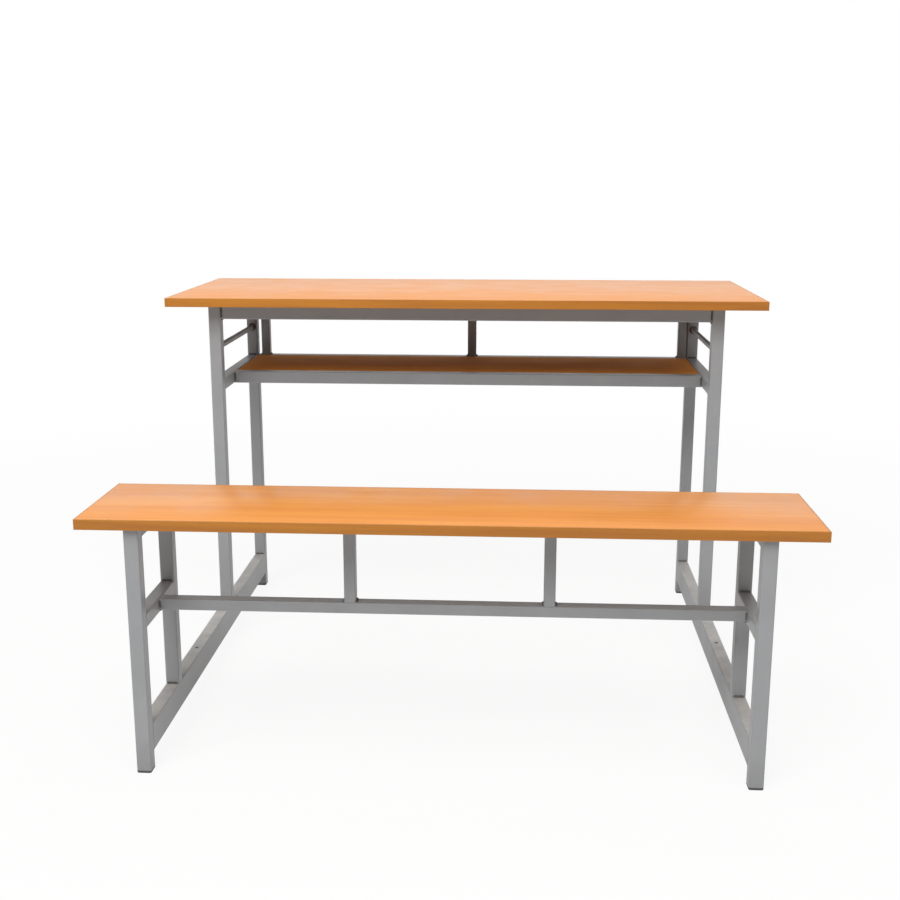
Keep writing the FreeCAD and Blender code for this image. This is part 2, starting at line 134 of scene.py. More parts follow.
class SchoolDeskFinishes(bpy.types.PropertyGroup):
    """Colours of the finishes."""
    enamel: colour_prop("Enamel", "Satin grey enamel of the tubes", "#9C9D9F")
    weld_enamel: colour_prop("Enamel over welds", "Duller enamel on the weld beads", "#625E5B")
    beech_pale: colour_prop("Beech, pale", "Pale streaks of the boards' laminate", "#E69534")
    beech_dark: colour_prop("Beech, dark", "Dark streaks of the boards' laminate", "#DC8527")
    beech_fleck: colour_prop("Beech fleck", "Short flecks in the boards' laminate", "#C5711C")
    band_pale: colour_prop("Band, pale", "Pale streaks of the boards' edge band", "#BF7A19")
    band_dark: colour_prop("Band, dark", "Dark streaks of the boards' edge band", "#AA6711")
    band_fleck: colour_prop("Band fleck", "Short flecks in the edge band", "#92550B")
    backing: colour_prop("Backing paper", "Paper on the undersides of the boards", "#8F6C48")
    chips_pale: colour_prop("Chips, pale", "Pale chips in a raw board edge", "#C9A776")
    chips_dark: colour_prop("Chips, dark", "Dark chips in a raw board edge", "#8E6A40")
    # Pale film on up-facing faces near the floor: partly shoe dust, partly painted light on the
    # tops
    dust_and_top_light: colour_prop("Dust", "Film left by shoes on the base rails", "#D8D2CA")
    glide: colour_prop("Glide", "Moulded plastic of the glides", "#4A4A4C")
    zinc: colour_prop("Zinc", "Zinc plating of the screws", "#BEBFBC")
    floor: colour_prop("Floor", "Matt studio floor", "#F0EFED")


class SchoolDeskStage(bpy.types.PropertyGroup):
    """Camera, floor and lamps."""
    camera_place: place_prop("Camera place", "Where the camera stands", (0.1109, -2.4554, 1.0122))
    camera_turn: bpy.props.FloatVectorProperty(
        name="Camera turn", description="Tilt, roll and turn of the camera", size=3,
        default=(math.radians(76.76), 0.0, math.radians(3.397)), subtype="EULER", unit="ROTATION")
    lens: bpy.props.FloatProperty(
        name="Lens", description="Focal length in millimetres on a 36 mm sensor", default=49.8,
        min=1.0, unit="CAMERA")
    shift: bpy.props.FloatVectorProperty(
        name="Shift", description="Shift of the lens, as a share of the frame", size=2,
        default=(0.0069, 0.0130))
    floor_side: length_prop("Floor side", "Side of the square floor", 30.0)
    floor_lift: bpy.props.FloatProperty(
        name="Floor lift", description="How far the seen floor is lifted to white",
        default=0.9, min=0.0, max=1.0, subtype="FACTOR")
    sky: bpy.props.FloatProperty(
        name="Sky", description="Even light from all round", default=0.09, min=0.0)
    lamp_side: length_prop("Lamp side", "Side of the square face of each lamp", 3.0)
    lamp_aim: place_prop("Lamp aim", "Where the lamps point", (0.0, 0.0, 0.4))
    left_place: place_prop("Left lamp", "Where the left-hand lamp stands", (-1.8, -3.7, 4.4))
    left_power: power_prop("Left power", "Power of the left-hand lamp", 185.0)
    right_place: place_prop("Right lamp", "Where the right-hand lamp stands", (3.4, -3.0, 4.2))
    right_power: power_prop("Right power", "Power of the right-hand lamp", 54.0)
    top_place: place_prop("Top lamp", "Where the lamp overhead hangs", (0.0, -1.3, 4.5))
    top_power: power_prop("Top power", "Power of the lamp overhead", 92.0)
    back_place: place_prop("Back lamp", "Where the lamp behind the desk stands", (0.8, 2.6, 5.2))
    back_power: power_prop("Back power", "Power of the lamp behind the desk", 44.0)


def sizes():
    """Sizes as they are set in the scene."""
    return bpy.context.scene.school_desk_sizes


def finishes():
    """Colours as they are set in the scene."""
    return bpy.context.scene.school_desk_finishes


def stage():
    """Camera, floor and lamps as they are set in the scene."""
    return bpy.context.scene.school_desk_stage


# Materials

# Sockets of a colour Mix node
FACTOR, FIRST, SECOND, MIXED = 0, 6, 7, 2
# Most values of a noise texture lie between these
NOISE_RANGE = {"From Min": 0.3, "From Max": 0.7}


def start_material(name):
    """A new material, its empty node tree and the coordinates of the piece that it is on."""
    material = bpy.data.materials.new(name)
    material.use_nodes = True
    tree = material.node_tree
    tree.nodes.clear()
    return material, tree, add_node(tree, "ShaderNodeTexCoord").outputs["Object"]


def add_node(tree, kind, inputs=None, **settings):
    """Add a node with its settings; an input is a plain value or another node's output."""
    node = tree.nodes.new(kind)
    for name, value in settings.items():
        setattr(node, name, value)
    for socket, value in (inputs or {}).items():
        if isinstance(value, bpy.types.NodeSocket):
            tree.links.new(value, node.inputs[socket])
        else:
            node.inputs[socket].default_value = value
    return node


def grain_scale(axis, length, width):
    """Mapping scale that stretches a unit pattern to a length along one axis and a width across."""
    return tuple(1 / length if name == axis else 1 / width for name in "xyz")


def worn_edges(tree, coords, radius, patch):
    """Mask of rubbed places along a piece's edges, broken up in patches.

    An edge is where the rounded form's normal turns 6 to 26 degrees away from the face's own.
    """
    rounded = add_node(tree, "ShaderNodeBevel", {"Radius": radius}, samples=4)
    surface = add_node(tree, "ShaderNodeNewGeometry")
    agree = add_node(tree, "ShaderNodeVectorMath", {
        0: rounded.outputs["Normal"], 1: surface.outputs["Normal"]}, operation="DOT_PRODUCT")
    edge = add_node(tree, "ShaderNodeMapRange", {
        "Value": agree.outputs["Value"], "From Min": 0.995, "From Max": 0.9})
    patches = add_node(tree, "ShaderNodeTexNoise", {
        "Vector": coords, "Scale": 1 / patch, "Detail": 4.0})
    rubbed = add_node(tree, "ShaderNodeMapRange", {
        "Value": patches.outputs["Fac"], "From Min": 0.48, "From Max": 0.62})
    worn = add_node(tree, "ShaderNodeMath", {
        0: edge.outputs["Result"], 1: rubbed.outputs["Result"]}, operation="MULTIPLY")
    return worn.outputs["Value"]


Mark = namedtuple("Mark", "length width detail distortion starts full strength")
# Real lines and flecks of beech are a few tenths of a millimetre wide; they are drawn wider, so
# that they show from a few metres away
WOOD_MARKS = {
    "streaks": Mark(380 * MM, 16 * MM, 3.0, 0.6, 0.32, 0.68, 1.0),
    "lines": Mark(120 * MM, 2.4 * MM, 2.0, 0.0, 0.45, 0.75, 0.22),
    "flecks": Mark(14 * MM, 1.6 * MM, 1.0, 0.0, 0.6, 0.72, 0.25),
}


def wood_print(tree, coords, axis, pale, dark, fleck):
    """Printed wood figure along one axis: soft streaks, finer lines and short flecks.

    Each kind of mark starts at one value of its noise, is full at another, and is laid over the
    kinds before it. Returns the colour, and the noise of the lines.
    """
    colour, noises = dark, {}
    for (kind, mark), paint in zip(WOOD_MARKS.items(), (pale, dark, fleck)):
        place = add_node(tree, "ShaderNodeMapping", {
            "Vector": coords, "Scale": grain_scale(axis, mark.length, mark.width)})
        noise = add_node(tree, "ShaderNodeTexNoise", {
            "Vector": place.outputs["Vector"], "Scale": 1.0, "Detail": mark.detail,
            "Distortion": mark.distortion})
        share = add_node(tree, "ShaderNodeMapRange", {
            "Value": noise.outputs["Fac"], "From Min": mark.starts, "From Max": mark.full,
            "To Max": mark.strength})
        laid = add_node(tree, "ShaderNodeMix", {
            FACTOR: share.outputs["Result"], FIRST: colour, SECOND: paint}, data_type="RGBA")
        colour, noises[kind] = laid.outputs[MIXED], noise.outputs["Fac"]
    return colour, noises["lines"]


def pressed_laminate(name, axis, pale, dark, fleck, roughness):
    """Melamine laminate: printed paper pressed hot under resin against a satin or matt plate.

    The eye sees a warm wood print under an even, low sheen that turns pale towards the horizon,
    with the sheen a little uneven where it has been handled.
    """
    handled_patch, pore_depth = 70 * MM, 0.05 * MM
    material, tree, coords = start_material(name)
    colour, lines = wood_print(tree, coords, axis, pale, dark, fleck)
    handling = add_node(tree, "ShaderNodeTexNoise", {
        "Vector": coords, "Scale": 1 / handled_patch, "Detail": 4.0})
    sheen = add_node(tree, "ShaderNodeMapRange", {
        "Value": handling.outputs["Fac"], **NOISE_RANGE,
        "To Min": roughness[0], "To Max": roughness[1]})
    pores = add_node(tree, "ShaderNodeBump", {
        "Height": lines, "Strength": 0.25, "Distance": pore_depth})
    shader = add_node(tree, "ShaderNodeBsdfPrincipled", {
        "Base Color": colour, "Roughness": sheen.outputs["Result"], "IOR": 1.5,
        "Normal": pores.outputs["Normal"]})
    add_node(tree, "ShaderNodeOutputMaterial", {"Surface": shader.outputs["BSDF"]})
    return material


def glued_edge_band(name, axis, pale, dark, fleck):
    """Printed ABS strip, extruded, glued on hot and scraped round at its edges.

    The eye sees a darker run of the same wood print with a soft plastic shine, and pale scuffs
    where the rounded edges have been knocked.
    """
    scraped_round, scuff_patch, grain_depth = 1.2 * MM, 18 * MM, 0.05 * MM
    material, tree, coords = start_material(name)
    colour, lines = wood_print(tree, coords, axis, pale, dark, fleck)
    scuffs = worn_edges(tree, coords, scraped_round, scuff_patch)
    scuff_share = add_node(tree, "ShaderNodeMath", {0: scuffs, 1: 0.5}, operation="MULTIPLY")
    scuffed = add_node(tree, "ShaderNodeMix", {
        FACTOR: scuff_share.outputs["Value"], FIRST: colour, SECOND: pale}, data_type="RGBA")
    dulled = add_node(tree, "ShaderNodeMapRange", {
        "Value": scuffs, "To Min": 0.38, "To Max": 0.55})
    grain = add_node(tree, "ShaderNodeBump", {
        "Height": lines, "Strength": 0.2, "Distance": grain_depth})
    shader = add_node(tree, "ShaderNodeBsdfPrincipled", {
        "Base Color": scuffed.outputs[MIXED], "Roughness": dulled.outputs["Result"], "IOR": 1.53,
        "Normal": grain.outputs["Normal"]})
    add_node(tree, "ShaderNodeOutputMaterial", {"Surface": shader.outputs["BSDF"]})
    return material


def backing_paper(name, colour):
    """Plain resin paper pressed on the underside of a board to keep it flat.

    The eye sees a dull, faintly mottled brown sheet.
    """
    mottle_size = 9 * MM
    material, tree, coords = start_material(name)
    mottle = add_node(tree, "ShaderNodeTexNoise", {
        "Vector": coords, "Scale": 1 / mottle_size, "Detail": 5.0})
    shade = add_node(tree, "ShaderNodeMapRange", {
        "Value": mottle.outputs["Fac"], **NOISE_RANGE, "To Min": 0.88, "To Max": 1.06})
    mottled = add_node(tree, "ShaderNodeVectorMath", {
        0: colour[:3], "Scale": shade.outputs["Result"]}, operation="SCALE")
    shader = add_node(tree, "ShaderNodeBsdfPrincipled", {
        "Base Color": mottled.outputs["Vector"], "Roughness": 0.62, "IOR": 1.5})
    add_node(tree, "ShaderNodeOutputMaterial", {"Surface": shader.outputs["BSDF"]})
    return material


def sawn_chipboard(name, pale, dark):
    """Raw sawn edge of chipboard: glued wood chips cut through.

    The eye sees small flat chips of different browns and a rough, matt surface.
    """
    chip_size, ragged_depth = 2.5 * MM, 0.3 * MM
    material, tree, coords = start_material(name)
    chips = add_node(tree, "ShaderNodeTexVoronoi", {
        "Vector": coords, "Scale": 1 / chip_size, "Randomness": 1.0})
    shade = add_node(tree, "ShaderNodeSeparateColor", {"Color": chips.outputs["Color"]})
    colour = add_node(tree, "ShaderNodeMix", {
        FACTOR: shade.outputs["Red"], FIRST: dark, SECOND: pale}, data_type="RGBA")
    ragged = add_node(tree, "ShaderNodeBump", {
        "Height": shade.outputs["Green"], "Strength": 0.4, "Distance": ragged_depth})
    shader = add_node(tree, "ShaderNodeBsdfPrincipled", {
        "Base Color": colour.outputs[MIXED], "Roughness": 0.85, "IOR": 1.5,
        "Normal": ragged.outputs["Normal"]})
    add_node(tree, "ShaderNodeOutputMaterial", {"Surface": shader.outputs["BSDF"]})
    return material


def dust_and_top_light_film(tree, coords):
    """Mask of a pale film, in patches, on what faces up near the floor: partly shoe dust, partly
    painted light on the tops.
    """
    full_below, none_above, patch = 90 * MM, 140 * MM, 30 * MM
    surface = add_node(tree, "ShaderNodeNewGeometry")
    facing = add_node(tree, "ShaderNodeSeparateXYZ", {"Vector": surface.outputs["Normal"]})
    facing_up = add_node(tree, "ShaderNodeMapRange", {
        "Value": facing.outputs["Z"], "From Min": 0.7, "From Max": 0.95})
    height = add_node(tree, "ShaderNodeSeparateXYZ", {"Vector": coords})
    near_floor = add_node(tree, "ShaderNodeMapRange", {
        "Value": height.outputs["Z"], "From Min": none_above, "From Max": full_below})
    scuffs = add_node(tree, "ShaderNodeTexNoise", {
        "Vector": coords, "Scale": 1 / patch, "Detail": 6.0})
    patches = add_node(tree, "ShaderNodeMapRange", {
        "Value": scuffs.outputs["Fac"], "From Min": 0.35, "From Max": 0.65,
        "To Min": 0.2, "To Max": 0.55})
    reached = add_node(tree, "ShaderNodeMath", {
        0: facing_up.outputs["Result"], 1: near_floor.outputs["Result"]}, operation="MULTIPLY")
    dust_and_light_share = add_node(tree, "ShaderNodeMath", {
        0: reached.outputs["Value"], 1: patches.outputs["Result"]}, operation="MULTIPLY")
    return dust_and_light_share.outputs["Value"]


def satin_enamel(name, colour, dust_and_top_light, roughness):
    """Grey stoving enamel, sprayed on welded mild-steel tube.

    The eye sees an even satin grey with a faint orange peel, slightly darker and duller where it
    has been handled, darker towards the bottom, and a little paler where the corners are rubbed. A
    pale, matt film in patches on what faces up near the floor is partly dust left by shoes and
    partly painted light falling on the tops.
    """
    handled_patch, darkening_height = 85 * MM, 70 * MM
    rubbed_round, rubbed_patch = 1.6 * MM, 26 * MM
    # Orange peel is about a millimetre across; it is drawn at twice that, so that it shows
    peel_size, peel_depth = 2.2 * MM, 0.04 * MM
    material, tree, coords = start_material(name)
    handling = add_node(tree, "ShaderNodeTexNoise", {
        "Vector": coords, "Scale": 1 / handled_patch, "Detail": 5.0})
    tone = add_node(tree, "ShaderNodeMapRange", {
        "Value": handling.outputs["Fac"], **NOISE_RANGE, "To Min": 0.93, "To Max": 1.04})
    height = add_node(tree, "ShaderNodeSeparateXYZ", {"Vector": coords})
    # Darker towards the bottom, down to 0.84 of the colour at the floor
    lower_darkening = add_node(tree, "ShaderNodeMapRange", {
        "Value": height.outputs["Z"], "From Max": darkening_height, "To Min": 0.84, "To Max": 1.0})
    rubbed = worn_edges(tree, coords, rubbed_round, rubbed_patch)
    paler = add_node(tree, "ShaderNodeMapRange", {"Value": rubbed, "To Min": 1.0, "To Max": 1.12})
    toned_and_darkened = add_node(tree, "ShaderNodeMath", {
        0: tone.outputs["Result"], 1: lower_darkening.outputs["Result"]}, operation="MULTIPLY")
    shade = add_node(tree, "ShaderNodeMath", {
        0: toned_and_darkened.outputs["Value"], 1: paler.outputs["Result"]}, operation="MULTIPLY")
    shaded = add_node(tree, "ShaderNodeVectorMath", {
        0: colour[:3], "Scale": shade.outputs["Value"]}, operation="SCALE")
    # Pale film on what faces up near the floor: partly dust left by shoes, partly painted light on
    # the tops
    dust_and_light_share = dust_and_top_light_film(tree, coords)
    dusted_and_lit = add_node(tree, "ShaderNodeMix", {
        FACTOR: dust_and_light_share, FIRST: shaded.outputs["Vector"], SECOND: dust_and_top_light}, data_type="RGBA")
    gloss = add_node(tree, "ShaderNodeMapRange", {
        "Value": handling.outputs["Fac"], **NOISE_RANGE,
        "To Min": roughness - 0.05, "To Max": roughness + 0.07})
    dulled = add_node(tree, "ShaderNodeMath", {
        0: dust_and_light_share, 1: 0.5, 2: gloss.outputs["Result"]}, operation="MULTIPLY_ADD")
    peel = add_node(tree, "ShaderNodeTexNoise", {
        "Vector": coords, "Scale": 1 / peel_size, "Detail": 1.0})
    rippled = add_node(tree, "ShaderNodeBump", {
        "Height": peel.outputs["Fac"], "Strength": 0.3, "Distance": peel_depth})
    shader = add_node(tree, "ShaderNodeBsdfPrincipled", {
        "Base Color": dusted_and_lit.outputs[MIXED], "Roughness": dulled.outputs["Value"], "IOR": 1.5,
        "Normal": rippled.outputs["Normal"]})
    add_node(tree, "ShaderNodeOutputMaterial", {"Surface": shader.outputs["BSDF"]})
    return material


def moulded_polyethylene(name, colour):
    """Dark polyethylene, injection moulded in a spark-eroded tool.

    The eye sees a waxy, finely grained dark grey, scuffed paler at the edges.
    """
    scuff_round, scuff_patch = 1.0 * MM, 6 * MM
    grain_size, grain_depth = 0.8 * MM, 0.05 * MM
    material, tree, coords = start_material(name)
    scuffs = worn_edges(tree, coords, scuff_round, scuff_patch)
    paler = add_node(tree, "ShaderNodeMapRange", {"Value": scuffs, "To Min": 1.0, "To Max": 1.5})
    scuffed = add_node(tree, "ShaderNodeVectorMath", {
        0: colour[:3], "Scale": paler.outputs["Result"]}, operation="SCALE")
    texture = add_node(tree, "ShaderNodeTexNoise", {
        "Vector": coords, "Scale": 1 / grain_size, "Detail": 2.0})
    grain = add_node(tree, "ShaderNodeBump", {
        "Height": texture.outputs["Fac"], "Strength": 0.35, "Distance": grain_depth})
    shader = add_node(tree, "ShaderNodeBsdfPrincipled", {
        "Base Color": scuffed.outputs["Vector"], "Roughness": 0.52, "IOR": 1.51,
        "Normal": grain.outputs["Normal"]})
    add_node(tree, "ShaderNodeOutputMaterial", {"Surface": shader.outputs["BSDF"]})
    return material


def zinc_plate(name, colour):
    """Steel screws, barrel plated with zinc.

    The eye sees a pale bluish metal with an uneven, slightly cloudy shine.
    """
    cloud_size = 2 * MM
    material, tree, coords = start_material(name)
    cloud = add_node(tree, "ShaderNodeTexNoise", {
        "Vector": coords, "Scale": 1 / cloud_size, "Detail": 3.0})
    shine = add_node(tree, "ShaderNodeMapRange", {
        "Value": cloud.outputs["Fac"], **NOISE_RANGE, "To Min": 0.26, "To Max": 0.44})
    shader = add_node(tree, "ShaderNodeBsdfPrincipled", {
        "Base Color": tuple(colour), "Metallic": 1.0, "Roughness": shine.outputs["Result"]})
    add_node(tree, "ShaderNodeOutputMaterial", {"Surface": shader.outputs["BSDF"]})
    return material


def seen_rays(tree):
    """One for rays from the camera, a reflection or a clear surface, and zero for the rest."""
    path = add_node(tree, "ShaderNodeLightPath")
    mirrored = add_node(tree, "ShaderNodeMath", {
        0: path.outputs["Is Glossy Ray"], 1: path.outputs["Is Transmission Ray"]},
        operation="MAXIMUM")
    seen = add_node(tree, "ShaderNodeMath", {
        0: path.outputs["Is Camera Ray"], 1: mirrored.outputs["Value"]}, operation="MAXIMUM")
    return seen.outputs["Value"]


def studio_floor(name, colour, lift):
    """Matt pale studio paper, lifted towards white where it is seen, with the shadow left on it.

    The lift grows to full a few metres away from the furniture, so that no horizon shows.
    """
    grows_from, full_from = 1.0, 3.0
    material, tree, coords = start_material(name)
    away = add_node(tree, "ShaderNodeVectorMath", {0: coords}, operation="LENGTH")
    reach = add_node(tree, "ShaderNodeMapRange", {
        "Value": away.outputs["Value"], "From Min": grows_from, "From Max": full_from,
        "To Min": lift, "To Max": 1.0})
    paper = add_node(tree, "ShaderNodeBsdfDiffuse", {"Color": tuple(colour)})
    white = add_node(tree, "ShaderNodeEmission", {"Color": WHITE, "Strength": 1.0})
    share = add_node(tree, "ShaderNodeMath", {
        0: seen_rays(tree), 1: reach.outputs["Result"]}, operation="MULTIPLY")
    mixed = add_node(tree, "ShaderNodeMixShader", {
        0: share.outputs["Value"], 1: paper.outputs["BSDF"], 2: white.outputs["Emission"]})
    add_node(tree, "ShaderNodeOutputMaterial", {"Surface": mixed.outputs["Shader"]})
    return material


# Mesh helpers

def direction(word):
    """Unit vector of a signed axis such as -y."""
    sign = {"+": 1.0, "-": -1.0}[word[0]]
    return Vector([sign if name == word[1] else 0.0 for name in "xyz"])


def finish_piece(mesh, name, materials, replaced=()):
    """Turn a finished mesh into a piece that rides on the frame."""
    bmesh.ops.recalc_face_normals(mesh, faces=mesh.faces)
    data = bpy.data.meshes.new(name)
    mesh.to_mesh(data)
    mesh.free()
    for material in materials:
        data.materials.append(material)
    data.shade_smooth()
    data.set_sharp_from_angle(angle=SHARP_ANGLE)
    piece = bpy.data.objects.new(name, data)
    bpy.context.scene.collection.objects.link(piece)
    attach(piece, BODY)
    if replaced:
        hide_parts(*replaced)
    return piece


def finish_nodes(nodes, material):
    """Give solids that stay as they are a better material."""
    for node in nodes:
        for slot in frame["nodes"][node].material_slots:
            slot.material = material


def nodes_in_slot(slot):
    """Names of the solids that the record gives one finish."""
    return [entry["node"] for entry in frame["record"]["subparts"]
            if entry["material_slot"] == slot]


def solid_boxes(node):
    """Lowest and highest corner of each separate solid in one node."""
    copy = bmesh.new()
    copy.from_mesh(frame["nodes"][node].data)
    bmesh.ops.remove_doubles(copy, verts=copy.verts, dist=SAME_PLACE)
    boxes = []
    waiting = set(copy.verts)
    while waiting:
        reached = [waiting.pop()]
        for vert in reached:
            linked = {edge.other_vert(vert) for edge in vert.link_edges} & waiting
            waiting -= linked
            reached.extend(linked)
        low = Vector([min(vert.co[axis] for vert in reached) for axis in range(3)])
        high = Vector([max(vert.co[axis] for vert in reached) for axis in range(3)])
        boxes.append((low, high))
    copy.free()
    return sorted(boxes, key=lambda box: tuple(box[0]))


def join_rings(mesh, rings, caps=(0, -1)):
    """Skin a row of vertex rings, and cap those whose places in the row are given."""
    for ring, following in zip(rings, rings[1:]):
        for place in range(len(ring)):
            after = (place + 1) % len(ring)
            mesh.faces.new((ring[place], ring[after], following[after], following[place]))
    for cap in caps:
        mesh.faces.new(rings[cap])


def rounded_square(half, corner, steps=4):
    """Points of a square with rounded corners, about the origin."""
    reach = (half - corner) * math.sqrt(2)
    points = []
    for turn in range(4):
        start = turn * math.pi / 2
        middle = start + math.pi / 4
        for step in range(steps + 1):
            angle = start + math.pi / 2 * step / steps
            points.append((
                reach * math.cos(middle) + corner * math.cos(angle),
                reach * math.sin(middle) + corner * math.sin(angle)))
    return points


# Boards

# Material slots of a board
LAMINATE, BACKING, CORE = range(3)
# Least rise or fall, as a face's normal, at which the rounded edge still has laminate or paper
LEAST_RISE = 0.3
# Least and greatest roughness of the laminate
SATIN_ROUGHNESS, MATT_ROUGHNESS = (0.28, 0.38), (0.82, 0.92)


def laminated_board(name, node, laminate, backing, core):
    """Board with laminate above, backing paper below and a raw core at its edges."""
    low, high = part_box(node)
    arris = sizes().board_arris
    mesh = bmesh.new()
    bmesh.ops.create_cube(mesh, size=1.0)
    for vert in mesh.verts:
        vert.co = [low[axis] if vert.co[axis] < 0 else high[axis] for axis in range(3)]
    rims = [edge for edge in mesh.edges
            if abs(edge.verts[0].co.z - edge.verts[1].co.z) < arris]
    bmesh.ops.bevel(mesh, geom=rims, offset=arris, segments=2, profile=0.5, affect="EDGES")
    mesh.normal_update()
    for face in mesh.faces:
        if face.normal.z > LEAST_RISE:
            face.material_index = LAMINATE
        elif face.normal.z < -LEAST_RISE:
            face.material_index = BACKING
        else:
            face.material_index = CORE
    return finish_piece(mesh, name, (laminate, backing, core), (node,))


class SCHOOLDESK_OT_boards(bpy.types.Operator):
    """Make the seat, the writing top and the book shelf"""
    bl_idname = "school_desk.boards"
    bl_label = "Boards"

    def execute(self, context):
        finish = finishes()
        colours = (finish.beech_pale, finish.beech_dark, finish.beech_fleck)
        satin = pressed_laminate(
            "satin_beech_melamine_laminate", "x", *colours, SATIN_ROUGHNESS)
        matte = pressed_laminate(
            "matte_beech_melamine_laminate", "x", *colours, MATT_ROUGHNESS)
        backing = backing_paper("pressed_backing_paper", finish.backing)
        core = sawn_chipboard("sawn_chipboard", finish.chips_pale, finish.chips_dark)
        for place, laminate in {"seat": satin, "desk": satin, "shelf": matte}.items():
            laminated_board(
                f"{place}_laminated_board", f"{place}_board", laminate, backing, core)
        return {"FINISHED"}


class SCHOOLDESK_OT_edge_bands(bpy.types.Operator):
    """Finish the edge bands of the boards"""
    bl_idname = "school_desk.edge_bands"
    bl_label = "Edge bands"

    def execute(self, context):
        finish = finishes()
        colours = (finish.band_pale, finish.band_dark, finish.band_fleck)
        for axis, places in {"x": ("front", "back"), "y": ("left", "right")}.items():
            band = glued_edge_band(f"beech_abs_band_along_{axis}", axis, *colours)
            nodes = [f"{board}_band_{place}" for board in ("seat", "desk") for place in places]
            finish_nodes(nodes, band)
        return {"FINISHED"}


# Tube frame

ENAMEL_ROUGHNESS = {"tubes": 0.42, "tabs": 0.45, "welds": 0.5}
WELD_MATERIAL = "enamel_over_weld_beads"
# Swell of a bead with each ripple, and its slower wander over some ripples, as shares of its leg
RIPPLE_SWELL, WANDER_SWELL, WANDER_RIPPLES = 0.13, 0.07, 4.3
# How far past the tip of its rounded end a bead starts, in legs
END_START = 0.15
# Rings in one ripple, and flats on a bead's round face
RIPPLE_RINGS, BEAD_FLATS = 6, 6


class SCHOOLDESK_OT_tubes(bpy.types.Operator):
    """Enamel the tubes of the frame"""
    bl_idname = "school_desk.tubes"
    bl_label = "Tubes"

    def execute(self, context):
        enamel = satin_enamel(
            "satin_grey_enamel", finishes().enamel, finishes().dust_and_top_light, ENAMEL_ROUGHNESS["tubes"])
        finish_nodes(nodes_in_slot("grey_paint"), enamel)
        return {"FINISHED"}


def add_bead(mesh, corners, closed=False):
    """Rippled weld bead along a row of corners.

    Each corner is a place with the directions away from it along the two faces that meet there.
    """
    leg, ripple, sink = sizes().weld_leg, sizes().weld_ripple, sizes().weld_sink
    places = [corner[0] for corner in corners]
    run = [0.0]
    for place, following in zip(places, places[1:]):
        run.append(run[-1] + (following - place).length)
    rings = []
    for along, (place, first, second) in zip(run, corners):
        phase = math.tau * along / ripple
        swell = 1 + RIPPLE_SWELL * math.cos(phase)
        swell += WANDER_SWELL * math.sin(phase / WANDER_RIPPLES)
        if not closed:
            from_end = min(along, run[-1] - along)
            swell *= min(1.0, math.sqrt(from_end / leg + END_START))
        reach = leg * swell + sink
        root = place - sink * (first + second)
        ring = [mesh.verts.new(root)]
        for step in range(BEAD_FLATS + 1):
            angle = math.pi / 2 * step / BEAD_FLATS
            outward = math.cos(angle) * first + math.sin(angle) * second
            ring.append(mesh.verts.new(root + reach * outward))
        rings.append(ring)
    if closed:
        join_rings(mesh, rings + rings[:1], caps=())
    else:
        join_rings(mesh, rings)


def straight_bead(mesh, piece, mate, end, side):
    """Weld along one side of a tube's end, where that end meets another tube."""
    outward, sideways = direction(end), direction(side)
    corner = Vector()
    for axis in range(3):
        signs = outward[axis] + sideways[axis]
        corner[axis] = piece[1][axis] if signs > 0 else piece[0][axis]
    axis = next(place for place in range(3) if not outward[place] and not sideways[place])
    start = max(piece[0][axis], mate[0][axis]) + sizes().tube_corner
    stop = min(piece[1][axis], mate[1][axis]) - sizes().tube_corner
    steps = round(RIPPLE_RINGS * (stop - start) / sizes().weld_ripple)
    corners = []
    for step in range(steps + 1):
        place = corner.copy()
        place[axis] = start + (stop - start) * step / steps
        corners.append((place, sideways, -outward))
    add_bead(mesh, corners)


def ring_bead(mesh, bar, end):
    """Weld round the end of a bar that lies along y."""
    outward = direction(end)
    middle = (bar[0] + bar[1]) / 2
    radius = (bar[1].z - bar[0].z) / 2
    steps = round(RIPPLE_RINGS * math.tau * radius / sizes().weld_ripple)
    corners = []
    for step in range(steps):
        angle = math.tau * step / steps
        away = Vector((math.cos(angle), 0.0, math.sin(angle)))
        place = middle + radius * away
        place.y = bar[1].y if outward.y > 0 else bar[0].y
        corners.append((place, away, -outward))
    add_bead(mesh, corners, closed=True)


def end_frame_joints(hand):
    """Joints of one end frame: welded tube, what it meets, its end, and the sides of that end."""
    base = f"base_rail_{hand}"
    joints = [
        (base, f"bench_front_leg_{hand}", "-y", ("+z", "-z")),
        (base, f"desk_back_leg_{hand}", "+y", ("+z", "-z")),
        (f"bench_back_leg_{hand}", base, "-z", ("-y", "+y")),
        (f"desk_front_leg_{hand}", base, "-z", ("-y", "+y")),
    ]
    for part in ("bench", "desk"):
        for end, leg in {"-y": "front", "+y": "back"}.items():
            post = f"{part}_{leg}_leg_{hand}"
            joints.append((f"{part}_cross_rail_{hand}", post, end, ("+z", "-z")))
            joints.append((f"{part}_top_rail_{hand}", post, end, ("-z",)))
    return joints


def long_rail_joints():
    """Joints of the rails that run along the boards, in the same form."""
    joints = []
    for hand, end in HANDS.items():
        joints.append(("bench_stretcher", f"bench_cross_rail_{hand}", end, ("-y", "+y", "-z")))
        joints.append((f"bench_strut_{hand}", "bench_stretcher", "-z", ("-x", "+x")))
        joints.append(("desk_front_rail", f"desk_front_leg_{hand}", end, ("-y", "-z")))
        joints.append(("desk_back_rail", f"desk_back_leg_{hand}", end, ("-z",)))
        joints.append(("shelf_front_rail", f"desk_cross_rail_{hand}", end, ("-y", "+y")))
        joints.append(("shelf_back_rail", f"desk_back_leg_{hand}", end, ("-z",)))
    # The right-hand post stands so close to the leg that it is welded on one side only
    for place, sides in {"left": ("-x", "+x"), "middle": ("-x", "+x"), "right": ("-x",)}.items():
        joints.append((f"shelf_post_{place}", "shelf_back_rail", "-z", sides))
        joints.append((f"shelf_post_{place}", "desk_back_rail", "+z", sides))
    return joints


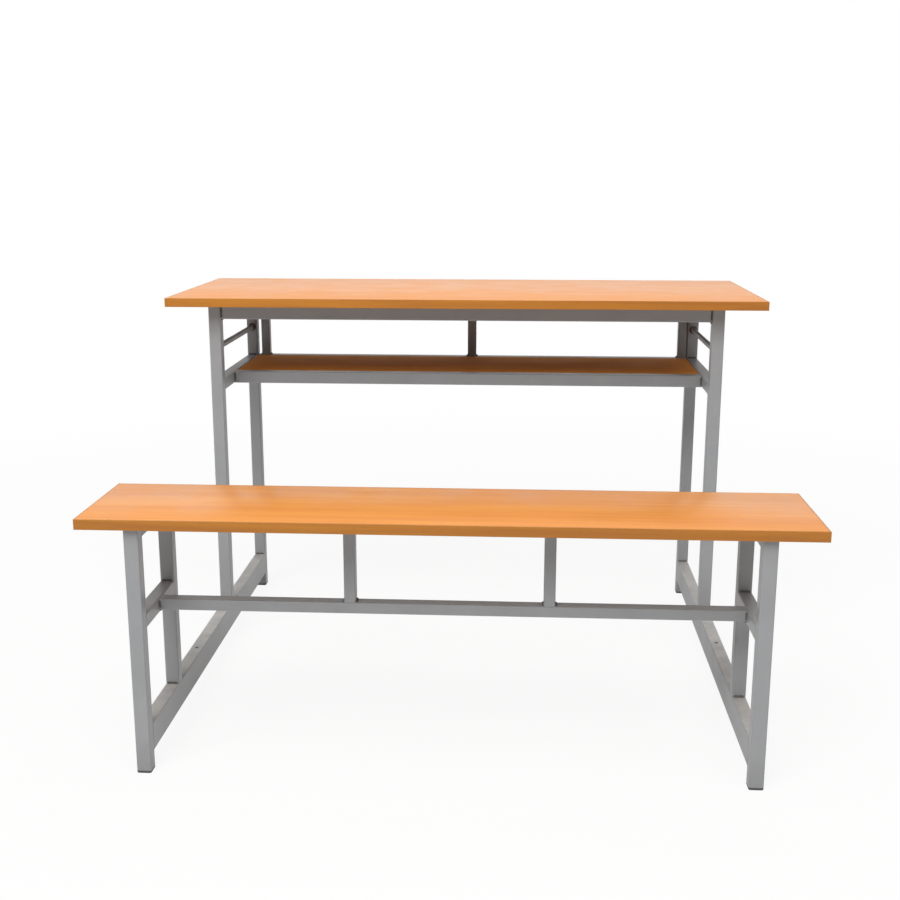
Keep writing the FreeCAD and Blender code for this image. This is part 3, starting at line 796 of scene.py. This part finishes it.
class SCHOOLDESK_OT_welds(bpy.types.Operator):
    """Weld the tubes together with rippled beads"""
    bl_idname = "school_desk.welds"
    bl_label = "Welds"

    def execute(self, context):
        # The pale film of dust and painted top light takes the enamel's own colour, so that none
        # shows on a bead
        colour = finishes().weld_enamel
        enamel = satin_enamel(WELD_MATERIAL, colour, colour, ENAMEL_ROUGHNESS["welds"])
        groups = {f"weld_beads_{hand}_end": end_frame_joints(hand) for hand in HANDS}
        groups["weld_beads_long_rails"] = long_rail_joints()
        for name, joints in groups.items():
            mesh = bmesh.new()
            for piece, mate, end, sides in joints:
                for side in sides:
                    straight_bead(mesh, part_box(piece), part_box(mate), end, side)
            finish_piece(mesh, name, (enamel,))
        mesh = bmesh.new()
        for hand in HANDS:
            for end in ("-y", "+y"):
                ring_bead(mesh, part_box(f"guard_bar_{hand}"), end)
        finish_piece(mesh, "weld_beads_guard_bars", (enamel,))
        return {"FINISHED"}


# Feet and fixings

# Steps round a tab's corner, and spokes round a screw
TAB_CORNER_STEPS, SCREW_SPOKES = 5, 24
# Screw head from its face to the tab, as shares of its radius and of its height
SCREW_HEAD = ((0.74, 0.0), (0.9, 0.22), (0.98, 0.55), (1.0, 0.85), (1.0, 1.0))
# Radius of the shank and of the blunt tip, as shares of the head's
SCREW_SHANK, SCREW_TIP = 0.47, 0.1
# Size of the recess's floor, as a share of its mouth's
RECESS_FLOOR = 0.7


def add_glide(mesh, low, high):
    """Glide with a chamfered pad and a finned plug, in the space of its solid."""
    size = sizes()
    middle = (low + high) / 2
    half = (high.x - low.x) / 2
    corner = size.tube_corner
    pad_top = low.z + size.pad_height
    plug = half - corner
    groove = plug - size.fin_depth
    levels = [
        (half - size.pad_chamfer, low.z),
        (half, low.z + size.pad_chamfer),
        (half, pad_top),
        (groove, pad_top),
    ]
    for fin in range(int((high.z - pad_top) / size.fin_pitch)):
        foot = pad_top + (fin + 0.5) * size.fin_pitch
        levels += [(groove, foot), (plug, foot), (groove, foot + size.fin_pitch / 2)]
    levels.append((groove, high.z))
    rings = []
    for reach, z in levels:
        outline = rounded_square(reach, corner)
        rings.append([mesh.verts.new((middle.x + x, middle.y + y, z)) for x, y in outline])
    join_rings(mesh, rings)


class SCHOOLDESK_OT_glides(bpy.types.Operator):
    """Make the glides under the legs that stand on the floor"""
    bl_idname = "school_desk.glides"
    bl_label = "Glides"

    def execute(self, context):
        plastic = moulded_polyethylene("moulded_dark_polyethylene", finishes().glide)
        mesh = bmesh.new()
        for low, high in solid_boxes("foot_glides"):
            add_glide(mesh, low, high)
        finish_piece(mesh, "moulded_foot_glides", (plastic,), ("foot_glides",))
        return {"FINISHED"}


def rail_side(tab):
    """The side of a tab that lies against a tube, with that tube's box."""
    low, high = tab
    rails = [f"bench_top_rail_{hand}" for hand in HANDS]
    rails += [f"{part}_{place}_rail" for part in ("desk", "shelf") for place in ("front", "back")]
    for rail in rails:
        rail_low, rail_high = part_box(rail)
        beside = all(
            low[axis] < rail_high[axis] + TOUCHING and high[axis] > rail_low[axis] - TOUCHING
            for axis in range(3))
        if beside:
            for axis, name in enumerate("xy"):
                if abs(low[axis] - rail_high[axis]) < TOUCHING:
                    return f"-{name}", (rail_low, rail_high)
                if abs(high[axis] - rail_low[axis]) < TOUCHING:
                    return f"+{name}", (rail_low, rail_high)
    raise RuntimeError(f"a fixing tab at {tuple(low)} lies against no rail")


def add_tab(mesh, tab, welded_side):
    """Flat steel tab with its two free corners rounded."""
    low, high = tab
    before = set(mesh.verts)
    free = -direction(welded_side)
    bottom = []
    for x, y in ((low.x, low.y), (high.x, low.y), (high.x, high.y), (low.x, high.y)):
        bottom.append(mesh.verts.new((x, y, low.z)))
    face = mesh.faces.new(bottom)
    raised = bmesh.ops.extrude_face_region(mesh, geom=[face])["geom"]
    for vert in raised:
        if isinstance(vert, bmesh.types.BMVert):
            vert.co.z = high.z
    made = [vert for vert in mesh.verts if vert not in before]
    middle = (low + high) / 2
    upright = []
    for edge in {edge for vert in made for edge in vert.link_edges}:
        first, second = edge.verts
        along_z = abs(first.co.z - second.co.z) > TOUCHING
        if along_z and (first.co - middle).dot(free) > 0:
            upright.append(edge)
    bmesh.ops.bevel(
        mesh, geom=upright, offset=sizes().tab_corner, segments=TAB_CORNER_STEPS, profile=0.5,
        affect="EDGES")


def add_screw(mesh, low, high, tab_bottom):
    """Pan-head screw with a cross recess, in the space of its solid."""
    size = sizes()
    x, y = (low.x + high.x) / 2, (low.y + high.y) / 2
    head = (high.x - low.x) / 2
    depth = tab_bottom - low.z
    shank = SCREW_SHANK * head
    profile = [(across * head, low.z + up * depth) for across, up in SCREW_HEAD]
    profile += [(shank, tab_bottom), (shank, high.z - shank), (SCREW_TIP * head, high.z)]
    turns = [math.tau * spoke / SCREW_SPOKES for spoke in range(SCREW_SPOKES)]
    rings = []
    for radius, z in profile:
        rings.append([
            mesh.verts.new((x + radius * math.cos(turn), y + radius * math.sin(turn), z))
            for turn in turns])
    join_rings(mesh, rings, caps=(-1,))
    arm, reach = size.recess_width / 2, size.recess_reach
    cross = []
    for cos, sin in ((1, 0), (0, 1), (-1, 0), (0, -1)):
        for across, out in ((arm, arm), (arm, reach), (-arm, reach)):
            cross.append(Vector((across * cos - out * sin, across * sin + out * cos, 0.0)))
    middle = Vector((x, y, low.z))
    bottom = middle + Vector((0.0, 0.0, size.recess_depth))
    mouth = [mesh.verts.new(middle + point) for point in cross]
    floor = [mesh.verts.new(bottom + RECESS_FLOOR * point) for point in cross]
    join_rings(mesh, [mouth, floor], caps=(-1,))
    rims = []
    for ring in (rings[0], mouth):
        rims += [mesh.edges.get(ends) for ends in zip(ring, ring[1:] + ring[:1])]
    bmesh.ops.triangle_fill(mesh, edges=rims, use_beauty=True)


def tab_underside(low, high, tabs):
    """Height of the underside of the tab that a screw goes through."""
    for tab_low, tab_high in tabs:
        inside = all(tab_low[axis] < low[axis] < tab_high[axis] for axis in range(2))
        if inside and low.z < tab_low.z < high.z:
            return tab_low.z
    raise RuntimeError(f"a screw at {tuple(low)} goes through no tab")


class SCHOOLDESK_OT_fixings(bpy.types.Operator):
    """Make the tabs under the boards, their welds and their screws"""
    bl_idname = "school_desk.fixings"
    bl_label = "Fixings"

    def execute(self, context):
        enamel = satin_enamel(
            "satin_grey_enamel_on_tabs", finishes().enamel, finishes().dust_and_top_light,
            ENAMEL_ROUGHNESS["tabs"])
        bead_enamel = bpy.data.materials[WELD_MATERIAL]
        zinc = zinc_plate("zinc_plated_steel", finishes().zinc)
        tabs, beads, screws = bmesh.new(), bmesh.new(), bmesh.new()
        boxes = solid_boxes("fixing_tabs")
        for tab in boxes:
            side, rail = rail_side(tab)
            add_tab(tabs, tab, side)
            straight_bead(beads, tab, rail, side, "-z")
        for low, high in solid_boxes("board_screws"):
            add_screw(screws, low, high, tab_underside(low, high, boxes))
        finish_piece(tabs, "steel_fixing_tabs", (enamel,), ("fixing_tabs",))
        finish_piece(beads, "weld_beads_fixing_tabs", (bead_enamel,))
        finish_piece(screws, "pan_head_screws", (zinc,), ("board_screws",))
        return {"FINISHED"}


# Stage

def add_lamp(name, place, target, side, power):
    """Large soft lamp that faces a target."""
    light = bpy.data.lights.new(name, "AREA")
    light.shape = "SQUARE"
    light.size = side
    light.energy = power
    lamp = bpy.data.objects.new(name, light)
    lamp.location = place
    lamp.rotation_euler = (Vector(target) - Vector(place)).to_track_quat("-Z", "Y").to_euler()
    bpy.context.scene.collection.objects.link(lamp)


class SCHOOLDESK_OT_stage(bpy.types.Operator):
    """Set up the floor, the lamps and the camera"""
    bl_idname = "school_desk.stage"
    bl_label = "Stage"

    def execute(self, context):
        scene, look = context.scene, stage()
        half = look.floor_side / 2
        data = bpy.data.meshes.new("studio_floor")
        corners = [(-half, -half, 0), (half, -half, 0), (half, half, 0), (-half, half, 0)]
        data.from_pydata(corners, [], [(0, 1, 2, 3)])
        data.materials.append(studio_floor("matt_studio_paper", finishes().floor, look.floor_lift))
        floor = bpy.data.objects.new("studio_floor", data)
        scene.collection.objects.link(floor)

        scene.world = bpy.data.worlds.new("studio_surroundings")
        scene.world.use_nodes = True
        tree = scene.world.node_tree
        tree.nodes.clear()
        light = add_node(tree, "ShaderNodeBackground", {"Color": WHITE, "Strength": look.sky})
        white = add_node(tree, "ShaderNodeBackground", {"Color": WHITE, "Strength": 1.0})
        mixed = add_node(tree, "ShaderNodeMixShader", {
            0: seen_rays(tree), 1: light.outputs["Background"], 2: white.outputs["Background"]})
        add_node(tree, "ShaderNodeOutputWorld", {"Surface": mixed.outputs["Shader"]})

        for name in ("left", "right", "top", "back"):
            place, power = getattr(look, f"{name}_place"), getattr(look, f"{name}_power")
            add_lamp(f"{name}_lamp", place, look.lamp_aim, look.lamp_side, power)

        lens = bpy.data.cameras.new("front_camera")
        lens.sensor_width = SENSOR_WIDTH
        lens.lens = look.lens
        lens.shift_x, lens.shift_y = look.shift
        camera = bpy.data.objects.new("front_camera", lens)
        camera.location = look.camera_place
        camera.rotation_euler = look.camera_turn
        scene.collection.objects.link(camera)
        scene.camera = camera
        scene.view_settings.view_transform = "Standard"
        return {"FINISHED"}


class SCHOOLDESK_PT_sidebar(bpy.types.Panel):
    """Sizes, finishes and steps of the school desk"""
    bl_idname = "SCHOOLDESK_PT_sidebar"
    bl_label = "School desk"
    bl_space_type = "VIEW_3D"
    bl_region_type = "UI"
    bl_category = "School desk"

    def draw(self, context):
        for step in STEPS:
            self.layout.operator(step.bl_idname)
        for group in (sizes(), finishes(), stage()):
            box = self.layout.box()
            for name in group.__annotations__:
                box.prop(group, name)


GROUPS = {
    "school_desk_sizes": SchoolDeskSizes,
    "school_desk_finishes": SchoolDeskFinishes,
    "school_desk_stage": SchoolDeskStage,
}
# In the order in which they run: the fixings use the material that the welds make
STEPS = (
    SCHOOLDESK_OT_boards,
    SCHOOLDESK_OT_edge_bands,
    SCHOOLDESK_OT_tubes,
    SCHOOLDESK_OT_welds,
    SCHOOLDESK_OT_glides,
    SCHOOLDESK_OT_fixings,
    SCHOOLDESK_OT_stage,
)


def register():
    """Make the classes and their settings known to Blender."""
    for kind in (*GROUPS.values(), *STEPS, SCHOOLDESK_PT_sidebar):
        bpy.utils.register_class(kind)
    for name, group in GROUPS.items():
        setattr(bpy.types.Scene, name, bpy.props.PointerProperty(type=group))


def unregister():
    """Take the classes and their settings out of Blender again."""
    for name in GROUPS:
        delattr(bpy.types.Scene, name)
    for kind in reversed((*GROUPS.values(), *STEPS, SCHOOLDESK_PT_sidebar)):
        bpy.utils.unregister_class(kind)


def main():
    """Dress the part."""
    register()
    for step in STEPS:
        getattr(bpy.ops.school_desk, step.bl_idname.split(".")[1])()


if __name__ == "__main__":
    main()
